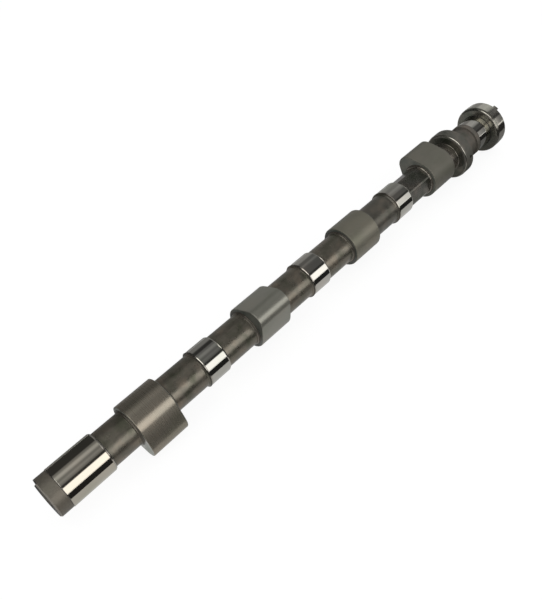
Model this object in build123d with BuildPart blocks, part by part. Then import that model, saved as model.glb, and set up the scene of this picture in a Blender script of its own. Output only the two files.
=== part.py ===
from build123d import *
import os
from math import atan2, cos, degrees, isclose, radians, sin, tan

# One-piece camshaft for a row of cylinders, with one wide lobe for each.
# Millimetres. The axis of rotation is X and the front end face is at X = 0.
# Angles about the axis are counted from +Y towards +Z.

# Shaft between the bearings
shaft_radius = 13.0

# Cylinders
firing_order = (1, 3, 4, 2)
firing_step = 90.0
cylinder_pitch = 106.5

# Lobes
first_lobe_gap = 22.1
first_nose_angle = 225.0
lobe_width = 29.0
base_circle_radius = 16.6
lobe_lift = 7.4
nose_radius = 9.1
flank_half_angle = 63.0

# Collar on the shaft at each side of a lobe
collar_height = 0.6
collar_length = 1.4

# Front end and first bearing
front_journal_radius = 14.5
front_journal_length = 33.0
front_band_relief = 0.35
front_band_length = 9.3
front_edge_chamfer = 0.9
index_step_depth = 1.2
index_step_height = 10.8
index_step_angle = 45.0
bolt_hole_radius = 5.1
bolt_hole_depth = 36.0
bolt_hole_mouth = 1.0

# Inner bearings: a cast shoulder with a bevelled edge, then the ground journal
journal_gap = 29.0
journal_radius = 14.35
journal_length = 18.5
journal_chamfer = 0.6
shoulder_height = 0.2
shoulder_bevel = 0.8
shoulder_length = 1.0

# Hexagon for a spanner, ahead of the last lobe
hexagon_sides = 6
hexagon_flat_distance = 11.7
hexagon_angle = 119.0

# Thrust flange
thrust_gap = 11.3
thrust_flange_radius = 21.2
thrust_flange_width = 10.7
locating_hole_radius = 1.3
locating_hole_depth = 5.0
locating_hole_angle = 175.0

# Neck and last bearing
neck_radius = 12.8
neck_length = 17.7
neck_fillet = 1.0
rear_shoulder_length = 4.7
rear_journal_radius = 14.4
rear_journal_length = 17.8
rear_shoulder_height = 0.4

# Rear flange with its drive tongue
rear_flange_radius = 21.3
rear_flange_width = 13.2
rear_rim_relief = 0.25
rear_rim_length = 4.0
tongue_width = 4.5
tongue_height = 2.6
tongue_angle = 121.5
centre_hole_radius = 3.0
centre_hole_angle = 60.0

# Edges shared by both flanges
flange_front_round = 2.6
flange_back_chamfer = 0.6

# Cone that a drill's point leaves at the bottom of a hole
drill_point_angle = 118.0

# Stations along the axis
front_journal_end = front_band_length + front_journal_length
first_lobe_start = front_journal_end + first_lobe_gap
lobe_starts = [first_lobe_start + cylinder_pitch * n for n in range(len(firing_order))]
shoulder_starts = [start + lobe_width + journal_gap for start in lobe_starts[:-1]]
journal_starts = [start + shoulder_length for start in shoulder_starts]
journal_ends = [start + journal_length for start in journal_starts]
hexagon_end = lobe_starts[-1] - collar_length
thrust_start = lobe_starts[-1] + lobe_width + thrust_gap
thrust_end = thrust_start + thrust_flange_width
rear_shoulder_start = thrust_end + neck_length
rear_journal_start = rear_shoulder_start + rear_shoulder_length
rear_flange_start = rear_journal_start + rear_journal_length
rear_face = rear_flange_start + rear_flange_width


def cross_plane(station, angle=0.0):
    """Plane across the axis at a station, with its x direction turned to an angle."""
    turn = radians(angle)
    return Plane(origin=(station, 0, 0), x_dir=(0, cos(turn), sin(turn)), z_dir=(1, 0, 0))


def turn_round(start, end, radius):
    """Add a round stretch between two stations."""
    with BuildSketch(cross_plane(start)) as section:
        Circle(radius)
    extrude(section.sketch, amount=end - start)


def turn_profile(points, mode=Mode.ADD):
    """Revolve a closed outline of (station, radius) points about the axis."""
    with BuildSketch(Plane.XZ) as outline:
        with BuildLine():
            Polyline(*points, close=True)
        make_face()
    revolve(outline.sketch, axis=Axis.X, mode=mode)


def drill_axial(face, direction, radius, depth, mouth):
    """Drill along the axis from an end face, with a countersunk mouth and a drill's point."""
    point_length = radius / tan(radians(drill_point_angle / 2))
    stations = [0, 0, mouth, depth, depth + point_length]
    radii = [0, radius + mouth, radius, radius, 0]
    turn_profile([(face + direction * s, r) for s, r in zip(stations, radii)], Mode.SUBTRACT)


def rims(part, station, radius):
    """The circular edges about the axis at a station."""
    circles = part.edges().filter_by(GeomType.CIRCLE)
    return circles.filter_by(
        lambda edge: isclose(edge.arc_center.X, station, abs_tol=0.01)
        and isclose(edge.radius, radius, abs_tol=0.01)
    )


def nose_angle(cylinder):
    """Angle of a cylinder's nose, which follows from its place in the firing order."""
    return first_nose_angle + firing_step * firing_order.index(cylinder)


def add_lobe(start, angle):
    """A cam of tangent arcs: the base circle, a flank at each side and the nose."""
    half = radians(flank_half_angle)
    nose_centre = base_circle_radius + lobe_lift - nose_radius
    drop = base_circle_radius - nose_radius
    flank_offset = (nose_centre**2 - drop**2) / (2 * (drop - nose_centre * cos(half)))
    flank_x = flank_offset * cos(half)
    flank_y = flank_offset * sin(half)
    nose_half_angle = degrees(atan2(flank_y, nose_centre + flank_x))
    flank_turn = flank_half_angle - nose_half_angle
    flank_radius = base_circle_radius + flank_offset
    with BuildSketch(cross_plane(start, angle)) as section:
        with BuildLine():
            CenterArc((0, 0), base_circle_radius, flank_half_angle, 360 - 2 * flank_half_angle)
            CenterArc((-flank_x, -flank_y), flank_radius, nose_half_angle, flank_turn)
            CenterArc((-flank_x, flank_y), flank_radius, -flank_half_angle, flank_turn)
            CenterArc((nose_centre, 0), nose_radius, -nose_half_angle, 2 * nose_half_angle)
        make_face()
    extrude(section.sketch, amount=lobe_width)


with BuildPart() as camshaft:
    # Turned body from the front face to the thrust flange
    turn_round(0, thrust_start, shaft_radius)
    turn_round(0, front_band_length, front_journal_radius - front_band_relief)
    turn_round(front_band_length, front_journal_end, front_journal_radius)
    for shoulder, journal, end in zip(shoulder_starts, journal_starts, journal_ends):
        shoulder_radius = journal_radius + shoulder_height
        turn_profile(
            [
                (shoulder, 0),
                (shoulder, shaft_radius),
                (shoulder + shoulder_bevel, shoulder_radius),
                (journal, shoulder_radius),
                (journal, 0),
            ]
        )
        turn_round(journal, end, journal_radius)

    # Lobes between their collars
    for cylinder, start in enumerate(lobe_starts, start=1):
        lobe_end = start + lobe_width
        turn_round(start - collar_length, lobe_end + collar_length, shaft_radius + collar_height)
        add_lobe(start, nose_angle(cylinder))

    # Thrust flange, neck, last bearing and rear flange
    rear_rim_start = rear_face - rear_rim_length
    turn_round(thrust_start, thrust_end, thrust_flange_radius)
    turn_round(thrust_end, rear_shoulder_start, neck_radius)
    turn_round(rear_shoulder_start, rear_journal_start, rear_journal_radius + rear_shoulder_height)
    turn_round(rear_journal_start, rear_flange_start, rear_journal_radius)
    turn_round(rear_flange_start, rear_rim_start, rear_flange_radius)
    turn_round(rear_rim_start, rear_face, rear_flange_radius - rear_rim_relief)

    # Drive tongue across the rear face
    with BuildSketch(cross_plane(rear_face, tongue_angle)):
        Circle(rear_flange_radius - rear_rim_relief)
        Rectangle(2 * rear_flange_radius, tongue_width, mode=Mode.INTERSECT)
    extrude(amount=tongue_height)

    # Rounded and bevelled rims
    chamfer(rims(camshaft.part, 0, front_journal_radius - front_band_relief), front_edge_chamfer)
    chamfer(rims(camshaft.part, front_journal_end, front_journal_radius), journal_chamfer)
    for end in journal_ends:
        chamfer(rims(camshaft.part, end, journal_radius), journal_chamfer)
    fillet(rims(camshaft.part, thrust_start, thrust_flange_radius), flange_front_round)
    chamfer(rims(camshaft.part, thrust_end, thrust_flange_radius), flange_back_chamfer)
    fillet(rims(camshaft.part, thrust_end, neck_radius), neck_fillet)
    fillet(rims(camshaft.part, rear_shoulder_start, neck_radius), neck_fillet)
    fillet(rims(camshaft.part, rear_flange_start, rear_flange_radius), flange_front_round)

    # Hexagon cut into the shaft between the last inner journal and the last lobe
    with BuildSketch(cross_plane(journal_ends[-1], hexagon_angle)):
        Circle(journal_radius)
        RegularPolygon(
            hexagon_flat_distance,
            hexagon_sides,
            major_radius=False,
            rotation=180 / hexagon_sides,
            mode=Mode.SUBTRACT,
        )
    extrude(amount=hexagon_end - journal_ends[-1], mode=Mode.SUBTRACT)

    # Index step milled across one side of the front face
    with BuildSketch(cross_plane(0, index_step_angle)):
        with Locations((index_step_height, 0)):
            Rectangle(
                front_journal_radius, 2 * front_journal_radius, align=(Align.MIN, Align.CENTER)
            )
    extrude(amount=index_step_depth, mode=Mode.SUBTRACT)

    # Bolt hole, centre hole and the locating hole in the thrust flange's rim
    drill_axial(0, 1, bolt_hole_radius, bolt_hole_depth, bolt_hole_mouth)
    centre_hole_depth = centre_hole_radius / tan(radians(centre_hole_angle / 2))
    tongue_face = rear_face + tongue_height
    turn_profile(
        [(tongue_face, 0), (tongue_face, centre_hole_radius), (tongue_face - centre_hole_depth, 0)],
        Mode.SUBTRACT,
    )
    locating_turn = radians(locating_hole_angle)
    outward = Vector(0, cos(locating_turn), sin(locating_turn))
    hole_station = (thrust_start + flange_front_round + thrust_end) / 2
    hole_mouth = Vector(hole_station, 0, 0) + outward * thrust_flange_radius
    with BuildSketch(Plane(origin=hole_mouth, z_dir=outward)):
        Circle(locating_hole_radius)
    extrude(amount=-locating_hole_depth, mode=Mode.SUBTRACT)

camshaft.part.label = "camshaft"

os.makedirs("parts", exist_ok=True)
export_step(camshaft.part, "parts/camshaft.step")
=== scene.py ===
from math import asin, atan2, cos, pi, radians, sin, tan

import bpy
import numpy as np
from mathutils import Matrix, Vector


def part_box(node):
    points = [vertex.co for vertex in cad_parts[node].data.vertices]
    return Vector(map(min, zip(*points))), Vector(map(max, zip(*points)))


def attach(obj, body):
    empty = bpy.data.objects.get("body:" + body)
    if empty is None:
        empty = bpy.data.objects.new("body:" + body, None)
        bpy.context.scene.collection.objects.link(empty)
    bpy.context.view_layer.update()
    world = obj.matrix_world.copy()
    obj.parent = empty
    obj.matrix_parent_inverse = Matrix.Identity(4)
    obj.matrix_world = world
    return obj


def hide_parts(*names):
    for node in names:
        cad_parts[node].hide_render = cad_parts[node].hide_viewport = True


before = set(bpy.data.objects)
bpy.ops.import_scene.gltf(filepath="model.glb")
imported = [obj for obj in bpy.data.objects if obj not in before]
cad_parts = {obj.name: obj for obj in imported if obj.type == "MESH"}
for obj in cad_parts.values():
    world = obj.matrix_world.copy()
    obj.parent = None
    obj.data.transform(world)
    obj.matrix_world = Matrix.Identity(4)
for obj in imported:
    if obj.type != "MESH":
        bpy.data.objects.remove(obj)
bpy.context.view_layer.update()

# Looks of a one-piece camshaft. The frame is in metres, with the axis of rotation along X and
# the front end face at X = 0. The camshaft's own sizes are in millimetres and are scaled when its
# surface is made; the studio's are in metres. Angles about the axis count from +Y towards +Z.
MILLIMETRE = 0.001

# Camera, found from the perspective of the outlines. Its elevation is in degrees and the turns
# that follow it are in radians.
CAMERA_PLACE = Vector((-20.29, -306.63, 306.63)) * MILLIMETRE
CAMERA_ELEVATION = 45.0
CAMERA_YAW = -0.4710
CAMERA_PITCH = 0.0079
CAMERA_ROLL = -0.7084
CAMERA_NEAR = 0.01
PICTURE_WIDTH = 542
PICTURE_HEIGHT = 600
FOCAL_PIXELS = 665.12
SENSOR = 36.0

# Shaft, lobes and collars
SHAFT_RADIUS = 13.0
FIRING_ORDER = (1, 3, 4, 2)
FIRING_STEP = 90.0
CYLINDER_PITCH = 106.5
FIRST_NOSE_ANGLE = 225.0
FIRST_LOBE_GAP = 22.1
LOBE_WIDTH = 29.0
BASE_CIRCLE_RADIUS = 16.6
LOBE_LIFT = 7.4
NOSE_RADIUS = 9.1
FLANK_HALF_ANGLE = 63.0
LOBE_EDGE = 0.45
COLLAR_RADIUS = 13.6
COLLAR_LENGTH = 1.4
COLLAR_EDGE = 0.35
COLLAR_ROOT = 0.3
FACE_ROOT = 0.8

# Front end
FRONT_JOURNAL_RADIUS = 14.5
FRONT_JOURNAL_LENGTH = 33.0
FRONT_JOURNAL_ROUND = 0.35
FRONT_BAND_RADIUS = 14.15
FRONT_BAND_LENGTH = 9.3
FRONT_EDGE = 0.9
GROOVE_WIDTH = 0.3
GROOVE_DEPTH = 0.25
INDEX_STEP_DEPTH = 1.2
INDEX_STEP_HEIGHT = 10.8
INDEX_STEP_ANGLE = 45.0
BOLT_HOLE_RADIUS = 5.1
BOLT_HOLE_DEPTH = 36.0
BOLT_HOLE_MOUTH = 1.0
THREAD_PITCH = 1.75
THREAD_DEPTH = 0.8
THREAD_FLANK = 2.5
THREAD_TURNS = 9
DRILL_POINT_ANGLE = 118.0

# Inner bearings: a cast shoulder, then a ground journal with a relief and a bevelled end
JOURNAL_GAP = 29.0
JOURNAL_RADIUS = 14.35
JOURNAL_LENGTH = 18.5
JOURNAL_BEVEL = 1.1
JOURNAL_BEVEL_DROP = 0.45
RELIEF_GAP = 0.15
RELIEF_LENGTH = 1.2
RELIEF_DROP = 0.62
RELIEF_FOOT = 0.16
SHOULDER_FOOT = 0.5
SHOULDER_RADIUS = 14.55
SHOULDER_BEVEL = 0.8
SHOULDER_EDGE = 0.1
SHOULDER_LENGTH = 1.0

# Hexagon for a spanner
HEXAGON_SIDES = 6
HEXAGON_FLAT_DISTANCE = 11.7
HEXAGON_ANGLE = 119.0

# Flanges, neck and last bearing, whose shoulder ends in a line of painted shade
THRUST_GAP = 11.3
THRUST_FLANGE_RADIUS = 21.2
THRUST_FLANGE_WIDTH = 10.7
LOCATING_HOLE_RADIUS = 1.3
LOCATING_HOLE_DEPTH = 5.0
LOCATING_HOLE_ANGLE = 175.0
NECK_RADIUS = 12.8
NECK_LENGTH = 17.7
NECK_FILLET = 1.0
REAR_SHOULDER_RADIUS = 14.8
REAR_SHOULDER_LENGTH = 4.7
REAR_SHOULDER_PAINTED_SHADE = 0.5
REAR_JOURNAL_RADIUS = 14.4
REAR_JOURNAL_LENGTH = 17.8
REAR_JOURNAL_STEP = 0.1
REAR_FLANGE_RADIUS = 21.3
REAR_FLANGE_WIDTH = 13.2
REAR_RIM_RADIUS = 21.05
REAR_RIM_LENGTH = 4.0
REAR_RIM_STEP = 0.2
FLANGE_ROUND = 2.6
FLANGE_EDGE = 0.6
TONGUE_WIDTH = 4.5
TONGUE_HEIGHT = 2.6
TONGUE_ANGLE = 121.5
CENTRE_HOLE_RADIUS = 3.0
CENTRE_HOLE_ANGLE = 60.0

# Edges and roots shared by several stretches
ROOT_FILLET = 0.5
SMALL_EDGE = 0.3

# Fineness of the surface. A straight edge is out of reach at angles where the cosine to its
# facing is under GRAZING. Edges sharper than SHARP_ANGLE are shaded as edges.
EVEN_SEGMENTS = 240
ROUND_STEPS = 5
WORN_STEP = 3
THREAD_STEPS = 8
DRILL_SIDES = 48
HOLE_TIP = 0.02
GRAZING = 0.01
SHARP_ANGLE = 24.0

# Angles of the surface's columns. The corners of the tongue have angles of their own.
TONGUE_REACH = asin(TONGUE_WIDTH / 2 / (REAR_RIM_RADIUS - SMALL_EDGE))
TONGUE_CORNERS = [
    radians(TONGUE_ANGLE) + turn + TONGUE_REACH * side for turn in (0, pi) for side in (-1, 1)
]
EVEN_ANGLES = np.arange(EVEN_SEGMENTS) * 2 * pi / EVEN_SEGMENTS
ANGLES = np.sort(np.append(EVEN_ANGLES, np.mod(TONGUE_CORNERS, 2 * pi)))
SEGMENTS = len(ANGLES)

# Steps of a rounded edge or root: how far it has gone one way, and how far is left the other way
QUARTER_TURNS = [radians(90 * step / ROUND_STEPS) for step in range(ROUND_STEPS + 1)]
ROUNDING = [(1 - cos(turn), 1 - sin(turn)) for turn in QUARTER_TURNS]

# Stations along the axis
FRONT_JOURNAL_END = FRONT_BAND_LENGTH + FRONT_JOURNAL_LENGTH
FIRST_LOBE_START = FRONT_JOURNAL_END + FIRST_LOBE_GAP
LOBE_STARTS = [FIRST_LOBE_START + CYLINDER_PITCH * n for n in range(len(FIRING_ORDER))]
SHOULDER_STARTS = [start + LOBE_WIDTH + JOURNAL_GAP for start in LOBE_STARTS[:-1]]
JOURNAL_ENDS = [start + SHOULDER_LENGTH + JOURNAL_LENGTH for start in SHOULDER_STARTS]
HEXAGON_END = LOBE_STARTS[-1] - COLLAR_LENGTH
THRUST_START = LOBE_STARTS[-1] + LOBE_WIDTH + THRUST_GAP
THRUST_END = THRUST_START + THRUST_FLANGE_WIDTH
REAR_SHOULDER_START = THRUST_END + NECK_LENGTH
REAR_JOURNAL_START = REAR_SHOULDER_START + REAR_SHOULDER_LENGTH
REAR_FLANGE_START = REAR_JOURNAL_START + REAR_JOURNAL_LENGTH
REAR_FACE = REAR_FLANGE_START + REAR_FLANGE_WIDTH
TONGUE_FACE = REAR_FACE + TONGUE_HEIGHT

# Front sides of the first and last lobes, painted lighter than the others as painted light
PAINTED_LIGHT_LOBE_SIDES = {1: "first_lobe_side", len(FIRING_ORDER): "last_lobe_side"}


class Skin:
    """A surface of rings round the axis, each with a station, a radius at every angle and a finish."""

    def __init__(self):
        self.stations = []
        self.radii = []
        self.finishes = []

    def ring(self, station, radius, finish):
        """Carry the surface on to a ring, which closes a band of that finish."""
        self.stations.append(np.broadcast_to(np.asarray(station, float), ANGLES.shape))
        self.radii.append(np.broadcast_to(np.asarray(radius, float), ANGLES.shape))
        self.finishes.append(finish)

    def points(self):
        """Points of all rings, in metres."""
        stations = np.array(self.stations) * MILLIMETRE
        radii = np.array(self.radii) * MILLIMETRE
        points = np.stack([stations, radii * np.cos(ANGLES), radii * np.sin(ANGLES)], axis=2)
        return points.reshape(-1, 3).tolist()

    def faces(self):
        """Four-cornered faces between neighbouring rings, and a cap at each end."""
        column = np.arange(SEGMENTS)
        following = (column + 1) % SEGMENTS
        last = (len(self.stations) - 1) * SEGMENTS
        faces = []
        for low in range(0, last, SEGMENTS):
            high = low + SEGMENTS
            faces.extend(zip(low + column, low + following, high + following, high + column))
        faces.append(column[::-1])
        faces.append(last + column)
        return [list(map(int, face)) for face in faces]

    def mesh(self, name, finish_order):
        """Join the rings into one closed mesh."""
        mesh = bpy.data.meshes.new(name)
        mesh.from_pydata(self.points(), [], self.faces())
        mesh.update()
        indices = [finish_order.index(finish) for finish in self.finishes]
        indices = np.append(np.repeat(indices[1:], SEGMENTS), [indices[0], indices[-1]])
        mesh.polygons.foreach_set("material_index", indices.astype(np.int32))
        return mesh


def line_radius(distance, angle):
    """Radius at every angle of a straight edge at a distance from the axis, facing an angle."""
    facing = np.cos(ANGLES - radians(angle))
    return np.where(facing > GRAZING, distance / np.maximum(facing, GRAZING), np.inf)


def hexagon_radius(limit):
    """Radius at every angle of the hexagon, kept inside a limit."""
    radius = np.full(ANGLES.shape, limit)
    for side in range(HEXAGON_SIDES):
        facet = line_radius(HEXAGON_FLAT_DISTANCE, HEXAGON_ANGLE + side * 360 / HEXAGON_SIDES)
        radius = np.minimum(radius, facet)
    return radius


def tongue_radius(limit):
    """Radius at every angle of the drive tongue, kept inside a limit."""
    radius = np.full(ANGLES.shape, limit)
    for side in (90, -90):
        radius = np.minimum(radius, line_radius(TONGUE_WIDTH / 2, TONGUE_ANGLE + side))
    return radius


def lobe_radius(angle, inset):
    """Radius at every angle of a lobe's outline of tangent arcs, moved inwards by an inset."""
    nose_centre = BASE_CIRCLE_RADIUS + LOBE_LIFT - NOSE_RADIUS
    drop = BASE_CIRCLE_RADIUS - NOSE_RADIUS
    half = radians(FLANK_HALF_ANGLE)
    flank_offset = (nose_centre**2 - drop**2) / (2 * (drop - nose_centre * cos(half)))
    flank_x, flank_y = flank_offset * cos(half), flank_offset * sin(half)
    nose_half = atan2(flank_y, nose_centre + flank_x)
    nose = NOSE_RADIUS - inset
    nose_limit = atan2(nose * sin(nose_half), nose_centre + nose * cos(nose_half))
    turn = np.abs((ANGLES - radians(angle) + pi) % (2 * pi) - pi)
    on_nose = nose_centre * np.cos(turn)
    on_nose = on_nose + np.sqrt(np.maximum(nose**2 - (nose_centre * np.sin(turn)) ** 2, 0))
    along = flank_x * np.cos(turn) + flank_y * np.sin(turn)
    flank = BASE_CIRCLE_RADIUS + flank_offset - inset
    on_flank = np.sqrt(np.maximum(along**2 - flank_offset**2 + flank**2, 0)) - along
    on_base = BASE_CIRCLE_RADIUS - inset
    return np.where(turn < nose_limit, on_nose, np.where(turn < half, on_flank, on_base))


def nose_angle(cylinder):
    """Angle of a cylinder's nose, which follows from its place in the firing order."""
    return FIRST_NOSE_ANGLE + FIRING_STEP * FIRING_ORDER.index(cylinder)


def lobe_outline(cylinder):
    """Outline of a cylinder's lobe, as a function of its inset."""
    return lambda inset: lobe_radius(nose_angle(cylinder), inset)


def round_outline(radius):
    """Outline of a round stretch, as a function of its inset."""
    return lambda inset: radius - inset


def rising_edge(skin, station, outline, size, finish):
    """Round the edge from a wall at a station up on to an outline, given by its inset."""
    for gone, left in ROUNDING:
        skin.ring(station + size * gone, outline(size * left), finish)


def falling_edge(skin, station, outline, size, finish):
    """Round the edge from an outline down to a wall at a station."""
    for gone, left in ROUNDING:
        skin.ring(station - size * left, outline(size * gone), finish)


def rising_root(skin, station, radius, size, finish):
    """Fillet from a round stretch up into a wall at a station."""
    for gone, left in ROUNDING:
        skin.ring(station - size * left, radius + size * gone, finish)


def falling_root(skin, station, radius, size, finish):
    """Fillet from a wall at a station down into a round stretch."""
    for gone, left in ROUNDING:
        skin.ring(station + size * gone, radius + size * left, finish)


def add_bolt_hole(skin):
    """Drill point, plain wall, thread and mouth of the bolt hole, from the inside out."""
    point_length = BOLT_HOLE_RADIUS / tan(radians(DRILL_POINT_ANGLE / 2))
    skin.ring(BOLT_HOLE_DEPTH + point_length, HOLE_TIP, "bore")
    skin.ring(BOLT_HOLE_DEPTH, BOLT_HOLE_RADIUS, "bore")
    thread_end = BOLT_HOLE_MOUTH + THREAD_PITCH * THREAD_TURNS
    skin.ring(thread_end, BOLT_HOLE_RADIUS, "bore")
    steps = THREAD_STEPS * THREAD_TURNS
    for step in range(1, steps):
        station = thread_end - THREAD_PITCH * step / THREAD_STEPS
        phase = (station / THREAD_PITCH - ANGLES / (2 * pi)) % 1.0
        groove = np.clip(THREAD_FLANK * (0.5 - np.abs(phase - 0.5)), 0, 1)
        fade = min(1.0, step / THREAD_STEPS, (steps - step) / THREAD_STEPS)
        skin.ring(station, BOLT_HOLE_RADIUS + THREAD_DEPTH * fade * groove, "bore")
    skin.ring(BOLT_HOLE_MOUTH, BOLT_HOLE_RADIUS, "bore")
    skin.ring(0, BOLT_HOLE_RADIUS + BOLT_HOLE_MOUTH, "turned")


def bevelled_end(skin, station, radius, finish):
    """End of a ground journal, with its long flat bevel and a small round."""
    skin.ring(station - JOURNAL_BEVEL, radius, finish)
    low = radius - JOURNAL_BEVEL_DROP
    skin.ring(station - SMALL_EDGE, low, "journal_end")
    falling_edge(skin, station, round_outline(low), SMALL_EDGE, "journal_end")


def add_front_end(skin):
    """Front face with its index step, the turned band and the front journal."""
    step_edge = line_radius(INDEX_STEP_HEIGHT, INDEX_STEP_ANGLE)
    # The front face is painted near-black as shade
    skin.ring(0, np.minimum(FRONT_BAND_RADIUS - FRONT_EDGE, step_edge), "front_face")
    # The front chamfer is painted lighter as the glint along the edge
    skin.ring(FRONT_EDGE, np.minimum(FRONT_BAND_RADIUS, step_edge), "front_edge")
    skin.ring(INDEX_STEP_DEPTH, np.minimum(FRONT_BAND_RADIUS, step_edge), "turned")
    # The index step's face is painted near-black as shade
    skin.ring(INDEX_STEP_DEPTH, FRONT_BAND_RADIUS, "front_face")
    groove_start = FRONT_BAND_LENGTH - GROOVE_WIDTH
    skin.ring(groove_start, FRONT_BAND_RADIUS, "turned")
    skin.ring(groove_start, FRONT_BAND_RADIUS - GROOVE_DEPTH, "face")
    skin.ring(FRONT_BAND_LENGTH, FRONT_BAND_RADIUS - GROOVE_DEPTH, "face")
    edge = round_outline(FRONT_JOURNAL_RADIUS)
    rising_edge(skin, FRONT_BAND_LENGTH, edge, FRONT_JOURNAL_ROUND, "journal_end")
    bevelled_end(skin, FRONT_JOURNAL_END, FRONT_JOURNAL_RADIUS, "front_journal")
    # The root behind the front journal is painted near-black as shade
    falling_root(skin, FRONT_JOURNAL_END, SHAFT_RADIUS, ROOT_FILLET, "groove")


def add_lobe(skin, cylinder, before):
    """Collar, lobe and collar, reached over a stretch of the finish before them."""
    start = LOBE_STARTS[cylinder - 1]
    end = start + LOBE_WIDTH
    outline = lobe_outline(cylinder)
    track = f"lobe_{cylinder}"
    edge = "collar" if cylinder == 1 else "collar_edge"
    if before == "cast":
        rising_root(skin, start - COLLAR_LENGTH, SHAFT_RADIUS, COLLAR_ROOT, before)
    skin.ring(start - COLLAR_LENGTH, COLLAR_RADIUS - COLLAR_EDGE, edge)
    skin.ring(start - COLLAR_LENGTH + COLLAR_EDGE, COLLAR_RADIUS, edge)
    rising_root(skin, start, COLLAR_RADIUS, ROOT_FILLET, "collar")
    # The inner ring of the lobe's face, next to the collar, is painted near-black as shade
    skin.ring(start, COLLAR_RADIUS + FACE_ROOT, "groove")
    # The first and last lobes' front sides take lighter colours as painted light
    skin.ring(start, outline(LOBE_EDGE), PAINTED_LIGHT_LOBE_SIDES.get(cylinder, "lobe_side"))
    rising_edge(skin, start, outline, LOBE_EDGE, track)
    skin.ring(start + LOBE_WIDTH / 2, outline(0), track)
    skin.ring(end - LOBE_EDGE, outline(0), track)
    falling_edge(skin, end, outline, LOBE_EDGE, "lobe_side")
    falling_root(skin, end, COLLAR_RADIUS, ROOT_FILLET, "lobe_side")
    skin.ring(end + COLLAR_LENGTH - COLLAR_EDGE, COLLAR_RADIUS, "collar")
    skin.ring(end + COLLAR_LENGTH, COLLAR_RADIUS - COLLAR_EDGE, "collar")
    falling_root(skin, end + COLLAR_LENGTH, SHAFT_RADIUS, COLLAR_ROOT, "cast")


def add_inner_bearing(skin, cylinder, before):
    """Cast shoulder and ground journal behind a cylinder, after a stretch of the finish before."""
    shoulder = SHOULDER_STARTS[cylinder - 1]
    bevel_end = shoulder + SHOULDER_BEVEL
    bevel_middle = SHOULDER_RADIUS - (SHOULDER_RADIUS - SHAFT_RADIUS) / 2
    skin.ring(shoulder - SHOULDER_FOOT, SHAFT_RADIUS, before)
    skin.ring(shoulder + SHOULDER_BEVEL / 2, bevel_middle, before)
    # The upper half of the bevel and the land are painted dark as the line of shade along the
    # shoulder's edge
    skin.ring(bevel_end, SHOULDER_RADIUS, "shoulder")
    skin.ring(bevel_end + SHOULDER_EDGE, SHOULDER_RADIUS, "shoulder")
    relief_start = bevel_end + RELIEF_GAP
    # The drop into the relief is painted near-black as shade
    skin.ring(relief_start, JOURNAL_RADIUS - RELIEF_DROP, "groove")
    for step in range(1, ROUND_STEPS + 1):
        share = step / ROUND_STEPS
        drop = (RELIEF_DROP - RELIEF_FOOT) * (1 - share) ** 2 + RELIEF_FOOT * (1 - share)
        skin.ring(relief_start + RELIEF_LENGTH * share, JOURNAL_RADIUS - drop, "journal_end")
    bevelled_end(skin, JOURNAL_ENDS[cylinder - 1], JOURNAL_RADIUS, "polished")


def add_hexagon(skin):
    """Hexagon between the last inner journal and the last lobe's collar."""
    start = JOURNAL_ENDS[-1]
    hexagon = hexagon_radius(SHAFT_RADIUS)
    # The root at the start of the hexagon is painted near-black as shade
    skin.ring(start, hexagon + ROOT_FILLET, "groove")
    skin.ring(start + ROOT_FILLET, hexagon, "hexagon")
    skin.ring(HEXAGON_END - ROOT_FILLET, hexagon, "hexagon")
    skin.ring(HEXAGON_END, hexagon + ROOT_FILLET / 2, "hexagon")


def flange_edge(skin, station, radius, finish):
    """Round the front edge of a flange, with a worn line along it."""
    for step, (gone, left) in enumerate(ROUNDING):
        ring_finish = "worn_edge" if step == WORN_STEP else finish
        skin.ring(station + FLANGE_ROUND * gone, radius - FLANGE_ROUND * left, ring_finish)


def add_thrust_flange(skin):
    """Thrust flange between the hub and the neck."""
    rising_root(skin, THRUST_START, SHAFT_RADIUS, ROOT_FILLET, "collar_edge")
    skin.ring(THRUST_START, THRUST_FLANGE_RADIUS - FLANGE_ROUND, "flange")
    flange_edge(skin, THRUST_START, THRUST_FLANGE_RADIUS, "thrust_rim")
    skin.ring(THRUST_END - FLANGE_EDGE, THRUST_FLANGE_RADIUS, "thrust_rim")
    skin.ring(THRUST_END, THRUST_FLANGE_RADIUS - FLANGE_EDGE, "flange")
    falling_root(skin, THRUST_END, NECK_RADIUS, NECK_FILLET, "flange")


def add_rear_bearing(skin):
    """Neck, rear shoulder and last bearing."""
    shoulder = round_outline(REAR_SHOULDER_RADIUS)
    rising_root(skin, REAR_SHOULDER_START, NECK_RADIUS, NECK_FILLET, "neck")
    rising_edge(skin, REAR_SHOULDER_START, shoulder, SMALL_EDGE, "neck")
    skin.ring(REAR_JOURNAL_START - REAR_SHOULDER_PAINTED_SHADE, REAR_SHOULDER_RADIUS, "neck")
    # The shoulder's last stretch and its step down to the journal are painted near-black as a line of
    # shade
    skin.ring(REAR_JOURNAL_START, REAR_SHOULDER_RADIUS, "groove")
    skin.ring(REAR_JOURNAL_START + REAR_JOURNAL_STEP, REAR_JOURNAL_RADIUS, "groove")
    skin.ring(REAR_FLANGE_START - ROOT_FILLET, REAR_JOURNAL_RADIUS, "polished")
    # The root into the rear flange is painted near-black as shade
    rising_root(skin, REAR_FLANGE_START, REAR_JOURNAL_RADIUS, ROOT_FILLET, "groove")


def add_rear_flange(skin):
    """Rear flange with its slightly lower rim."""
    skin.ring(REAR_FLANGE_START, REAR_FLANGE_RADIUS - FLANGE_ROUND, "rear_flange_face")
    flange_edge(skin, REAR_FLANGE_START, REAR_FLANGE_RADIUS, "rear_flange_face")
    rim_start = REAR_FACE - REAR_RIM_LENGTH
    skin.ring(rim_start - REAR_RIM_STEP, REAR_FLANGE_RADIUS, "rim")
    skin.ring(rim_start, REAR_RIM_RADIUS, "rim")
    skin.ring(REAR_FACE - SMALL_EDGE, REAR_RIM_RADIUS, "rim")
    skin.ring(REAR_FACE, REAR_RIM_RADIUS - SMALL_EDGE, "rim")


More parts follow.
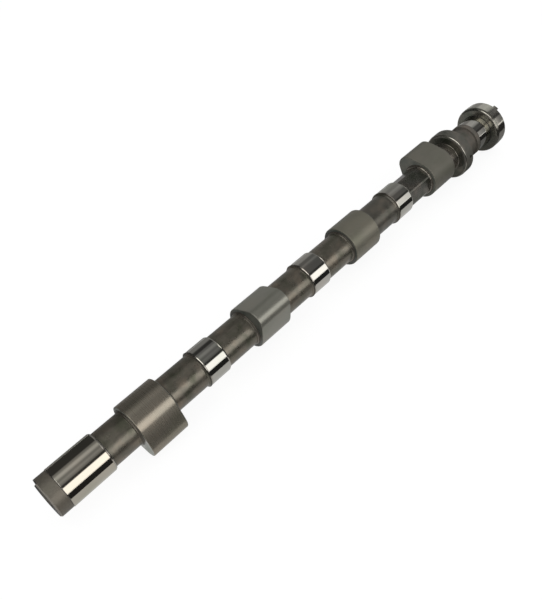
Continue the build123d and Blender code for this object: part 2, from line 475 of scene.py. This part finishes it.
def add_tongue(skin):
    """Drive tongue across the rear face, with the centre hole in it."""
    tongue = tongue_radius(REAR_RIM_RADIUS - SMALL_EDGE)
    slope = 1 / tan(radians(CENTRE_HOLE_ANGLE / 2))
    apex = TONGUE_FACE - CENTRE_HOLE_RADIUS * slope
    mouth = np.minimum(tongue, CENTRE_HOLE_RADIUS)
    top = np.where(tongue > CENTRE_HOLE_RADIUS, TONGUE_FACE, apex + slope * tongue)
    skin.ring(REAR_FACE, tongue, "face")
    skin.ring(top, tongue, "rim")
    skin.ring(apex + slope * mouth, mouth, "face")
    skin.ring(apex + slope * HOLE_TIP, HOLE_TIP, "bore")


def camshaft_skin():
    """All rings, from the bottom of the bolt hole to the bottom of the centre hole."""
    skin = Skin()
    add_bolt_hole(skin)
    add_front_end(skin)
    last = len(FIRING_ORDER)
    for cylinder in range(1, last - 1):
        add_lobe(skin, cylinder, "cast")
        add_inner_bearing(skin, cylinder, "cast")
        # The root behind each inner journal is painted near-black as shade
        falling_root(skin, JOURNAL_ENDS[cylinder - 1], SHAFT_RADIUS, ROOT_FILLET, "groove")
    add_lobe(skin, last - 1, "cast")
    # The stretch before the last inner bearing takes a darker copy of the cast skin
    add_inner_bearing(skin, last - 1, "dull_cast")
    add_hexagon(skin)
    add_lobe(skin, last, "hexagon")
    add_thrust_flange(skin)
    add_rear_bearing(skin)
    add_rear_flange(skin)
    add_tongue(skin)
    return skin


# Noise in the irons: scale, detail and stretch along X, Y and Z
EVEN = (1, 1, 1)
CAST_MOTTLE = (90, 6, EVEN)
CAST_PATCHES = (260, 4, EVEN)
CAST_WAVES = (120, 2, EVEN)
CAST_GRAINS = (1500, 3, EVEN)
GROUND_STAINS = (60, 5, (0.6, 1, 1))
GROUND_RINGS = (1.0, 4, (3500, 4, 4))

# Range in which most of a noise lies
NOISE_LOW = 0.3
NOISE_HIGH = 0.7

# Darker and lighter kinds of a colour, as factors on its channels, and where they lie in a noise
CAST_OLIVE = (0.62, 0.68, 0.6)
CAST_BROWN = (1.42, 1.3, 1.24)
CAST_PLACES = (0.3, 0.5, 0.72)
GROUND_OLIVE = (0.88, 0.91, 0.86)
GROUND_BROWN = (1.1, 1.06, 1.04)
GROUND_PLACES = (0.3, 0.5, 0.7)

# How far the roughness strays: a sum on cast skin and a factor on ground metal
CAST_ROUGHNESS = (-0.06, 0.08)
GROUND_ROUGHNESS = (0.85, 1.2)

# Heights of the bumps, in metres
WAVE_HEIGHT = 0.0006
GRAIN_HEIGHT = 0.00008
SCRATCH_HEIGHT = 0.00001


def new_iron(name, metallic):
    """A material with its node tree and its shader."""
    material = bpy.data.materials.new(name)
    material.use_nodes = True
    tree = material.node_tree
    shader = tree.nodes["Principled BSDF"]
    shader.inputs["Metallic"].default_value = metallic
    return material, tree, shader


def add_noise(tree, scale, detail, stretch):
    """Noise over the object's own coordinates, with its own stretch in each direction."""
    coordinates = tree.nodes.new("ShaderNodeTexCoord")
    mapping = tree.nodes.new("ShaderNodeMapping")
    mapping.inputs["Scale"].default_value = stretch
    noise = tree.nodes.new("ShaderNodeTexNoise")
    noise.inputs["Scale"].default_value = scale
    noise.inputs["Detail"].default_value = detail
    tree.links.new(coordinates.outputs["Object"], mapping.inputs["Vector"])
    tree.links.new(mapping.outputs["Vector"], noise.inputs["Vector"])
    return noise.outputs["Fac"]


def add_ramp(tree, source, stops):
    """Colour ramp from a value, with (place, colour) stops."""
    ramp = tree.nodes.new("ShaderNodeValToRGB")
    elements = ramp.color_ramp.elements
    while len(elements) < len(stops):
        elements.new(0.5)
    for element, (place, colour) in zip(elements, stops):
        element.position = place
        element.color = (*colour, 1)
    tree.links.new(source, ramp.inputs["Fac"])
    return ramp.outputs["Color"]


def add_range(tree, noise, low, high):
    """A noise spread over a range."""
    node = tree.nodes.new("ShaderNodeMapRange")
    node.inputs["From Min"].default_value = NOISE_LOW
    node.inputs["From Max"].default_value = NOISE_HIGH
    node.inputs["To Min"].default_value = low
    node.inputs["To Max"].default_value = high
    tree.links.new(noise, node.inputs["Value"])
    return node.outputs["Result"]


def add_bump(tree, height, distance, strength, before=None):
    """Bump node from a height, laid over an earlier bump."""
    bump = tree.nodes.new("ShaderNodeBump")
    bump.inputs["Distance"].default_value = distance
    bump.inputs["Strength"].default_value = strength
    tree.links.new(height, bump.inputs["Height"])
    if before is not None:
        tree.links.new(before, bump.inputs["Normal"])
    return bump.outputs["Normal"]


def shade(colour, factors):
    """A colour with a factor on each channel."""
    return tuple(min(1.0, channel * factor) for channel, factor in zip(colour, factors))


def cast_iron(name, colour, metallic, roughness, grain):
    """As-cast skin: mottled colour, sand grain and slow waves."""
    material, tree, shader = new_iron(name, metallic)
    colours = (shade(colour, CAST_OLIVE), colour, shade(colour, CAST_BROWN))
    mottle = add_ramp(tree, add_noise(tree, *CAST_MOTTLE), list(zip(CAST_PLACES, colours)))
    low, high = (roughness + stray for stray in CAST_ROUGHNESS)
    patches = add_range(tree, add_noise(tree, *CAST_PATCHES), low, high)
    waves = add_bump(tree, add_noise(tree, *CAST_WAVES), WAVE_HEIGHT, grain)
    grains = add_bump(tree, add_noise(tree, *CAST_GRAINS), GRAIN_HEIGHT, grain, waves)
    tree.links.new(mottle, shader.inputs["Base Color"])
    tree.links.new(patches, shader.inputs["Roughness"])
    tree.links.new(grains, shader.inputs["Normal"])
    return material


def machined_iron(name, colour, metallic, roughness, marks):
    """Turned or ground iron: fine rings round the axis, faint stains."""
    material, tree, shader = new_iron(name, metallic)
    colours = (shade(colour, GROUND_OLIVE), colour, shade(colour, GROUND_BROWN))
    stains = add_ramp(tree, add_noise(tree, *GROUND_STAINS), list(zip(GROUND_PLACES, colours)))
    rings = add_noise(tree, *GROUND_RINGS)
    low, high = (roughness * stray for stray in GROUND_ROUGHNESS)
    tree.links.new(stains, shader.inputs["Base Color"])
    tree.links.new(add_range(tree, rings, low, high), shader.inputs["Roughness"])
    tree.links.new(add_bump(tree, rings, SCRATCH_HEIGHT, marks), shader.inputs["Normal"])
    return material


# Finishes and bands of painted shade and light: maker, colour, metallic share, roughness and strength
# of the marks
FINISHES_AND_PAINTED_LIGHT_AND_SHADE = {
    "bore": (machined_iron, (0.16, 0.15, 0.14), 0.9, 0.4, 0.6),
    "face": (machined_iron, (0.12, 0.11, 0.10), 0.8, 0.45, 0.6),
    # front face and index step: near-black painted shade
    "front_face": (machined_iron, (0.03, 0.028, 0.026), 0.3, 0.5, 0.6),
    # front chamfer: lighter colour as a painted highlight
    "front_edge": (machined_iron, (0.23, 0.21, 0.18), 0.25, 0.5, 0.9),
    "turned": (machined_iron, (0.15, 0.136, 0.11), 0.65, 0.45, 0.8),
    "polished": (machined_iron, (0.51, 0.497, 0.452), 1.0, 0.07, 0.15),
    "front_journal": (machined_iron, (0.53, 0.495, 0.42), 1.0, 0.07, 0.15),
    "journal_end": (machined_iron, (0.42, 0.395, 0.35), 1.0, 0.16, 0.2),
    "worn_edge": (machined_iron, (0.34, 0.32, 0.28), 1.0, 0.2, 0.2),
    "collar_edge": (machined_iron, (0.24, 0.22, 0.19), 0.9, 0.26, 0.3),
    # groove: near-black painted shade for roots, fillets, the relief and each lobe face's inner ring
    "groove": (cast_iron, (0.03, 0.028, 0.025), 0.4, 0.5, 0.5),
    "cast": (cast_iron, (0.162, 0.148, 0.119), 0.8, 0.31, 0.3),
    # A darker copy of the cast skin
    "dull_cast": (cast_iron, (0.122, 0.115, 0.096), 0.75, 0.34, 0.3),
    # shoulder: dark painted shade along the edge of each inner shoulder
    "shoulder": (cast_iron, (0.075, 0.068, 0.056), 0.7, 0.4, 0.3),
    "collar": (machined_iron, (0.12, 0.108, 0.088), 0.8, 0.36, 0.6),
    "lobe_side": (cast_iron, (0.085, 0.09, 0.078), 0.3, 0.4, 0.3),
    # Lighter copies of the lobe side for the first and last lobes: painted light
    "first_lobe_side": (cast_iron, (0.4, 0.41, 0.37), 0.7, 0.3, 0.3),
    "last_lobe_side": (cast_iron, (0.13, 0.134, 0.115), 0.3, 0.4, 0.3),
    "lobe_1": (machined_iron, (0.29, 0.262, 0.212), 0.9, 0.28, 0.3),
    "lobe_2": (machined_iron, (0.262, 0.258, 0.22), 0.75, 0.34, 0.3),
    "lobe_3": (machined_iron, (0.19, 0.18, 0.142), 0.65, 0.42, 0.3),
    "lobe_4": (machined_iron, (0.13, 0.124, 0.1), 0.45, 0.5, 0.3),
    "hexagon": (cast_iron, (0.128, 0.123, 0.108), 0.9, 0.24, 0.2),
    "flange": (cast_iron, (0.1, 0.1, 0.083), 0.8, 0.3, 0.2),
    "thrust_rim": (cast_iron, (0.066, 0.063, 0.051), 0.1, 0.6, 0.2),
    "neck": (cast_iron, (0.076, 0.068, 0.055), 0.1, 0.6, 0.3),
    "rear_flange_face": (cast_iron, (0.195, 0.195, 0.168), 0.9, 0.22, 0.15),
    "rim": (machined_iron, (0.68, 0.655, 0.585), 1.0, 0.12, 0.2),
}


def new_object(name, data):
    """An object in the scene for a mesh, a lamp or a camera."""
    made = bpy.data.objects.new(name, data)
    bpy.context.scene.collection.objects.link(made)
    return made


def drill_locating_hole(surface):
    """Sink the small radial hole into the rim of the thrust flange."""
    station = (THRUST_START + FLANGE_ROUND + THRUST_END) / 2
    turn = radians(LOCATING_HOLE_ANGLE)
    outward = Vector((0, cos(turn), sin(turn)))
    bpy.ops.mesh.primitive_cylinder_add(
        vertices=DRILL_SIDES,
        radius=LOCATING_HOLE_RADIUS * MILLIMETRE,
        depth=2 * LOCATING_HOLE_DEPTH * MILLIMETRE,
    )
    drill = bpy.context.object
    drill.location = (Vector((station, 0, 0)) + outward * THRUST_FLANGE_RADIUS) * MILLIMETRE
    drill.rotation_euler = outward.to_track_quat("Z", "X").to_euler()
    drill.data.materials.append(surface.data.materials["bore"])
    cut = surface.modifiers.new("locating hole", "BOOLEAN")
    cut.object = drill
    cut.operation = "DIFFERENCE"
    cut.solver = "EXACT"
    cut.material_mode = "TRANSFER"
    evaluated = surface.evaluated_get(bpy.context.evaluated_depsgraph_get())
    drilled = bpy.data.meshes.new_from_object(evaluated)
    surface.modifiers.clear()
    surface.data = drilled
    bpy.data.objects.remove(drill)


def make_camshaft():
    """The visible surface, which stands for the CAD node and keeps its form."""
    mesh = camshaft_skin().mesh("camshaft_surface", list(FINISHES_AND_PAINTED_LIGHT_AND_SHADE))
    for finish, (maker, *values) in FINISHES_AND_PAINTED_LIGHT_AND_SHADE.items():
        mesh.materials.append(maker(finish, *values))
    surface = new_object("camshaft_surface", mesh)
    drill_locating_hole(surface)
    surface.data.shade_smooth()
    surface.data.set_sharp_from_angle(angle=radians(SHARP_ANGLE))
    normals = surface.modifiers.new("face weighted normals", "WEIGHTED_NORMAL")
    normals.keep_sharp = True
    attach(surface, "root")
    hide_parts("camshaft")


# The tent is half a tunnel over the shaft, which shows only in reflections. Its inside glows in
# bands. A band has its lower and upper edge in degrees above the horizon in front, the width of
# its soft edges, and its level at places along X.
TENT_RADIUS = 1.2
TENT_LENGTH = 9.0
TENT_MIDDLE = 0.25
TENT_ENDS = (TENT_MIDDLE - TENT_LENGTH / 2, TENT_MIDDLE + TENT_LENGTH / 2)
TENT_STEPS = 96
TENT_DARK = 0.045
SOFTBOX_LEVELS = [
    (-0.4, 0.1),
    (-0.05, 1.8),
    (1.0, 1.85),
    (1.12, 1.2),
    (1.35, 1.1),
    (1.5, 0.7),
    (1.8, 0.6),
    (1.83, 0.2),
    (1.9, 0.08),
]
SOFTBOX = (-10, 33, 5, SOFTBOX_LEVELS)
LOW_LAMP = (-10, 36, 5, [(-1.2, 0.0), (-1.0, 2.8), (-0.7, 2.8), (-0.5, 0.0)])
CEILING = (47, 112, 10, [(0.1, 0.22), (0.55, 0.13), (0.96, 0.07), (1.35, 0.08), (1.8, 0.05)])
CEILING_EDGE = (56, 66, 10, [(0.1, 0.1), (0.6, 0.04), (1.0, 0.0)])
SKYLIGHT = (80, 98, 14, [(0.1, 0.32), (0.55, 0.14), (0.96, 0.0), (1.35, 0.12), (1.8, 0.28)])
ROOF = (97, 138, 16, [(0.6, 0.0), (0.96, 0.1), (1.35, 0.2), (1.8, 0.42)])
REAR_WALL = (138, 190, 16, [(0.2, 0.0), (0.55, 0.2), (0.96, 0.28), (1.35, 0.28), (1.8, 0.2)])
LEFT_WINDOW = (46, 100, 10, [(-0.85, 0.0), (-0.75, 2.8), (-0.35, 2.8), (-0.12, 0.0)])
RIGHT_WINDOW = (54, 104, 10, [(2.1, 0.0), (2.6, 2.4)])
TENT_BANDS = [
    SOFTBOX,
    LOW_LAMP,
    CEILING,
    CEILING_EDGE,
    SKYLIGHT,
    ROOF,
    REAR_WALL,
    LEFT_WINDOW,
    RIGHT_WINDOW,
]

# Cards that lie just above the floor and show only in reflections: name, near edge, far edge and
# level at places along X
CARD_HEIGHT = 0.0004
SKIRT_LEVELS = [(-0.4, 0.1), (-0.05, 1.5), (1.0, 1.5), (1.35, 0.9), (1.8, 0.5), (1.9, 0.25)]
FLOOR_CARDS = [
    ("skirt_card", -1.2, -0.34, SKIRT_LEVELS),
    ("front_card", -0.34, -0.044, [(0.0, 0.022), (0.5, 0.022)]),
    ("under_card", -0.044, 0.012, [(0.4, 0.62), (0.44, 0.17)]),
    ("rear_card", 0.012, 1.2, [(0.05, 0.2), (0.3, 0.38)]),
]

# Floor, world and the lamp that gives the floor its faint shadow
FLOOR_SIZE = 12.0
FLOOR_GLOW = 0.89
FLOOR_COLOUR = 0.13
WORLD_LEVEL = 0.9
LAMP_PLACE = Vector((0.1, -1.1, 0.6))
LAMP_AIM = Vector((0.24, 0.0, 0.0))
LAMP_WIDTH = 1.4
LAMP_HEIGHT = 0.7
LAMP_ENERGY = 6.0


def add_math(tree, operation, *inputs):
    """Math node; an input is a number or another node's output."""
    node = tree.nodes.new("ShaderNodeMath")
    node.operation = operation
    for socket, value in zip(node.inputs, inputs):
        if isinstance(value, (int, float)):
            socket.default_value = value
        else:
            tree.links.new(value, socket)
    return node.outputs["Value"]


def add_window(tree, value, low, high, soft):
    """One between two limits and zero outside, with soft edges."""
    sides = []
    for edge, direction in ((low, 1), (high, -1)):
        side = tree.nodes.new("ShaderNodeMapRange")
        side.interpolation_type = "SMOOTHSTEP"
        side.inputs["From Min"].default_value = edge - direction * soft / 2
        side.inputs["From Max"].default_value = edge + direction * soft / 2
        tree.links.new(value, side.inputs["Value"])
        sides.append(side.outputs["Result"])
    return add_math(tree, "MULTIPLY", *sides)


def add_levels(tree, value, levels):
    """Level that runs straight from one (place, level) to the next."""
    first, last = levels[0][0], levels[-1][0]
    share = add_math(tree, "DIVIDE", add_math(tree, "SUBTRACT", value, first), last - first)
    stops = [((place - first) / (last - first), (level, level, level)) for place, level in levels]
    return add_ramp(tree, share, stops)


def split_place(tree):
    """X, Y and Z of the object's own coordinates."""
    coordinates = tree.nodes.new("ShaderNodeTexCoord")
    split = tree.nodes.new("ShaderNodeSeparateXYZ")
    tree.links.new(coordinates.outputs["Object"], split.inputs["Vector"])
    return split.outputs["X"], split.outputs["Y"], split.outputs["Z"]


def tent_glow(tree):
    """Level of the tent from the angle about the shaft's axis and the place along it."""
    along, back, up = split_place(tree)
    turn = add_math(tree, "ARCTAN2", up, add_math(tree, "MULTIPLY", back, -1))
    degrees_up = add_math(tree, "DEGREES", turn)
    total = TENT_DARK
    for low, high, soft, levels in TENT_BANDS:
        window = add_window(tree, degrees_up, low, high, soft)
        total = add_math(tree, "MULTIPLY_ADD", window, add_levels(tree, along, levels), total)
    return total


def card_glow(levels):
    """A function that adds a card's level along X."""
    return lambda tree: add_levels(tree, split_place(tree)[0], levels)


def seen_directly(tree, strength):
    """A strength for camera, glossy and transmission rays, and none for the rest."""
    rays = tree.nodes.new("ShaderNodeLightPath")
    seen = rays.outputs["Is Camera Ray"]
    for kind in ("Is Glossy Ray", "Is Transmission Ray"):
        seen = add_math(tree, "MAXIMUM", seen, rays.outputs[kind])
    return add_math(tree, "MULTIPLY", seen, strength)


def add_emission(tree, strength):
    """White glow of a strength that another node gives."""
    glow = tree.nodes.new("ShaderNodeEmission")
    tree.links.new(strength, glow.inputs["Strength"])
    return glow.outputs["Emission"]


def bare_material(name):
    """A material with only its output, its node tree and where its surface goes in."""
    material = bpy.data.materials.new(name)
    material.use_nodes = True
    tree = material.node_tree
    tree.nodes.clear()
    output = tree.nodes.new("ShaderNodeOutputMaterial")
    return material, tree, output.inputs["Surface"]


def glowing_material(name, level_source):
    """Stage material that only glows; level_source adds the nodes of its strength."""
    material, tree, surface = bare_material(name)
    tree.links.new(add_emission(tree, level_source(tree)), surface)
    return material


def floor_material():
    """White of which part is the floor's own, where it is seen directly, and the rest is lit."""
    material, tree, surface = bare_material("floor")
    matt = tree.nodes.new("ShaderNodeBsdfDiffuse")
    matt.inputs["Color"].default_value = (FLOOR_COLOUR, FLOOR_COLOUR, FLOOR_COLOUR, 1)
    total = tree.nodes.new("ShaderNodeAddShader")
    tree.links.new(matt.outputs["BSDF"], total.inputs[0])
    tree.links.new(add_emission(tree, seen_directly(tree, FLOOR_GLOW)), total.inputs[1])
    tree.links.new(total.outputs["Shader"], surface)
    return material


def new_sheet(name, points, faces, material):
    """A thin object of one material."""
    mesh = bpy.data.meshes.new(name)
    mesh.from_pydata(points, [], faces)
    mesh.materials.append(material)
    return new_object(name, mesh)


def level_sheet(name, x_ends, y_ends, height, material):
    """A level rectangle between two places along X and two along Y."""
    (left, right), (near, far) = x_ends, y_ends
    corners = [(left, near, height), (right, near, height), (right, far, height), (left, far, height)]
    return new_sheet(name, corners, [(0, 1, 2, 3)], material)


def only_in_reflections(card):
    """A studio card that shows in polished metal and nowhere else."""
    card.visible_camera = False
    card.visible_diffuse = False
    card.visible_transmission = False
    card.visible_volume_scatter = False
    card.visible_shadow = False


def make_tent():
    """Half a tunnel over the shaft: a softbox in front, grey walls above and behind."""
    turns = [pi * n / TENT_STEPS for n in range(TENT_STEPS + 1)]
    arc = [(-TENT_RADIUS * cos(turn), TENT_RADIUS * sin(turn)) for turn in turns]
    points = [(x, y, z) for x in TENT_ENDS for y, z in arc]
    count = len(arc)
    faces = [(n, n + 1, count + n + 1, count + n) for n in range(count - 1)]
    only_in_reflections(new_sheet("tent", points, faces, glowing_material("tent", tent_glow)))


def make_floor_cards(floor_height):
    """Bright, dark and grey cards on the floor in front, below and behind."""
    height = floor_height + CARD_HEIGHT
    for name, near, far, levels in FLOOR_CARDS:
        material = glowing_material(name, card_glow(levels))
        only_in_reflections(level_sheet(name, TENT_ENDS, (near, far), height, material))


def make_floor(height):
    """White floor that keeps a faint shadow."""
    ends = (-FLOOR_SIZE / 2, FLOOR_SIZE / 2)
    floor = level_sheet("floor", ends, ends, height, floor_material())


def make_world():
    """White seen directly and in reflections, and a plain level for what it lights."""
    world = bpy.data.worlds.new("studio")
    bpy.context.scene.world = world
    world.use_nodes = True
    tree = world.node_tree
    background = tree.nodes["Background"]
    background.inputs["Color"].default_value = (1, 1, 1, 1)
    level = add_math(tree, "ADD", seen_directly(tree, 1 - WORLD_LEVEL), WORLD_LEVEL)
    tree.links.new(level, background.inputs["Strength"])


def make_lamp():
    """Soft lamp in front, which shows in no reflection."""
    light = bpy.data.lights.new("softbox", "AREA")
    light.shape = "RECTANGLE"
    light.size = LAMP_WIDTH
    light.size_y = LAMP_HEIGHT
    light.energy = LAMP_ENERGY
    lamp = new_object("softbox", light)
    lamp.location = LAMP_PLACE
    lamp.rotation_euler = (LAMP_AIM - LAMP_PLACE).to_track_quat("-Z", "Y").to_euler()
    lamp.visible_glossy = False
    lamp.visible_camera = False


def make_camera():
    """Camera at the photographed viewing angle."""
    data = bpy.data.cameras.new("camera")
    data.sensor_width = SENSOR
    data.lens = FOCAL_PIXELS / max(PICTURE_WIDTH, PICTURE_HEIGHT) * SENSOR
    data.clip_start = CAMERA_NEAR
    camera = new_object("camera", data)
    turn = Matrix.Rotation(radians(CAMERA_ELEVATION), 4, "X")
    turn = turn @ Matrix.Rotation(CAMERA_YAW, 4, "Y")
    turn = turn @ Matrix.Rotation(CAMERA_PITCH, 4, "X")
    turn = turn @ Matrix.Rotation(CAMERA_ROLL, 4, "Z")
    camera.matrix_world = Matrix.Translation(CAMERA_PLACE) @ turn
    bpy.context.scene.camera = camera


bpy.context.scene.view_settings.view_transform = "Standard"
make_camera()
make_camshaft()
floor_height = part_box("camshaft")[0].z
make_floor(floor_height)
make_floor_cards(floor_height)
make_tent()
make_world()
make_lamp()
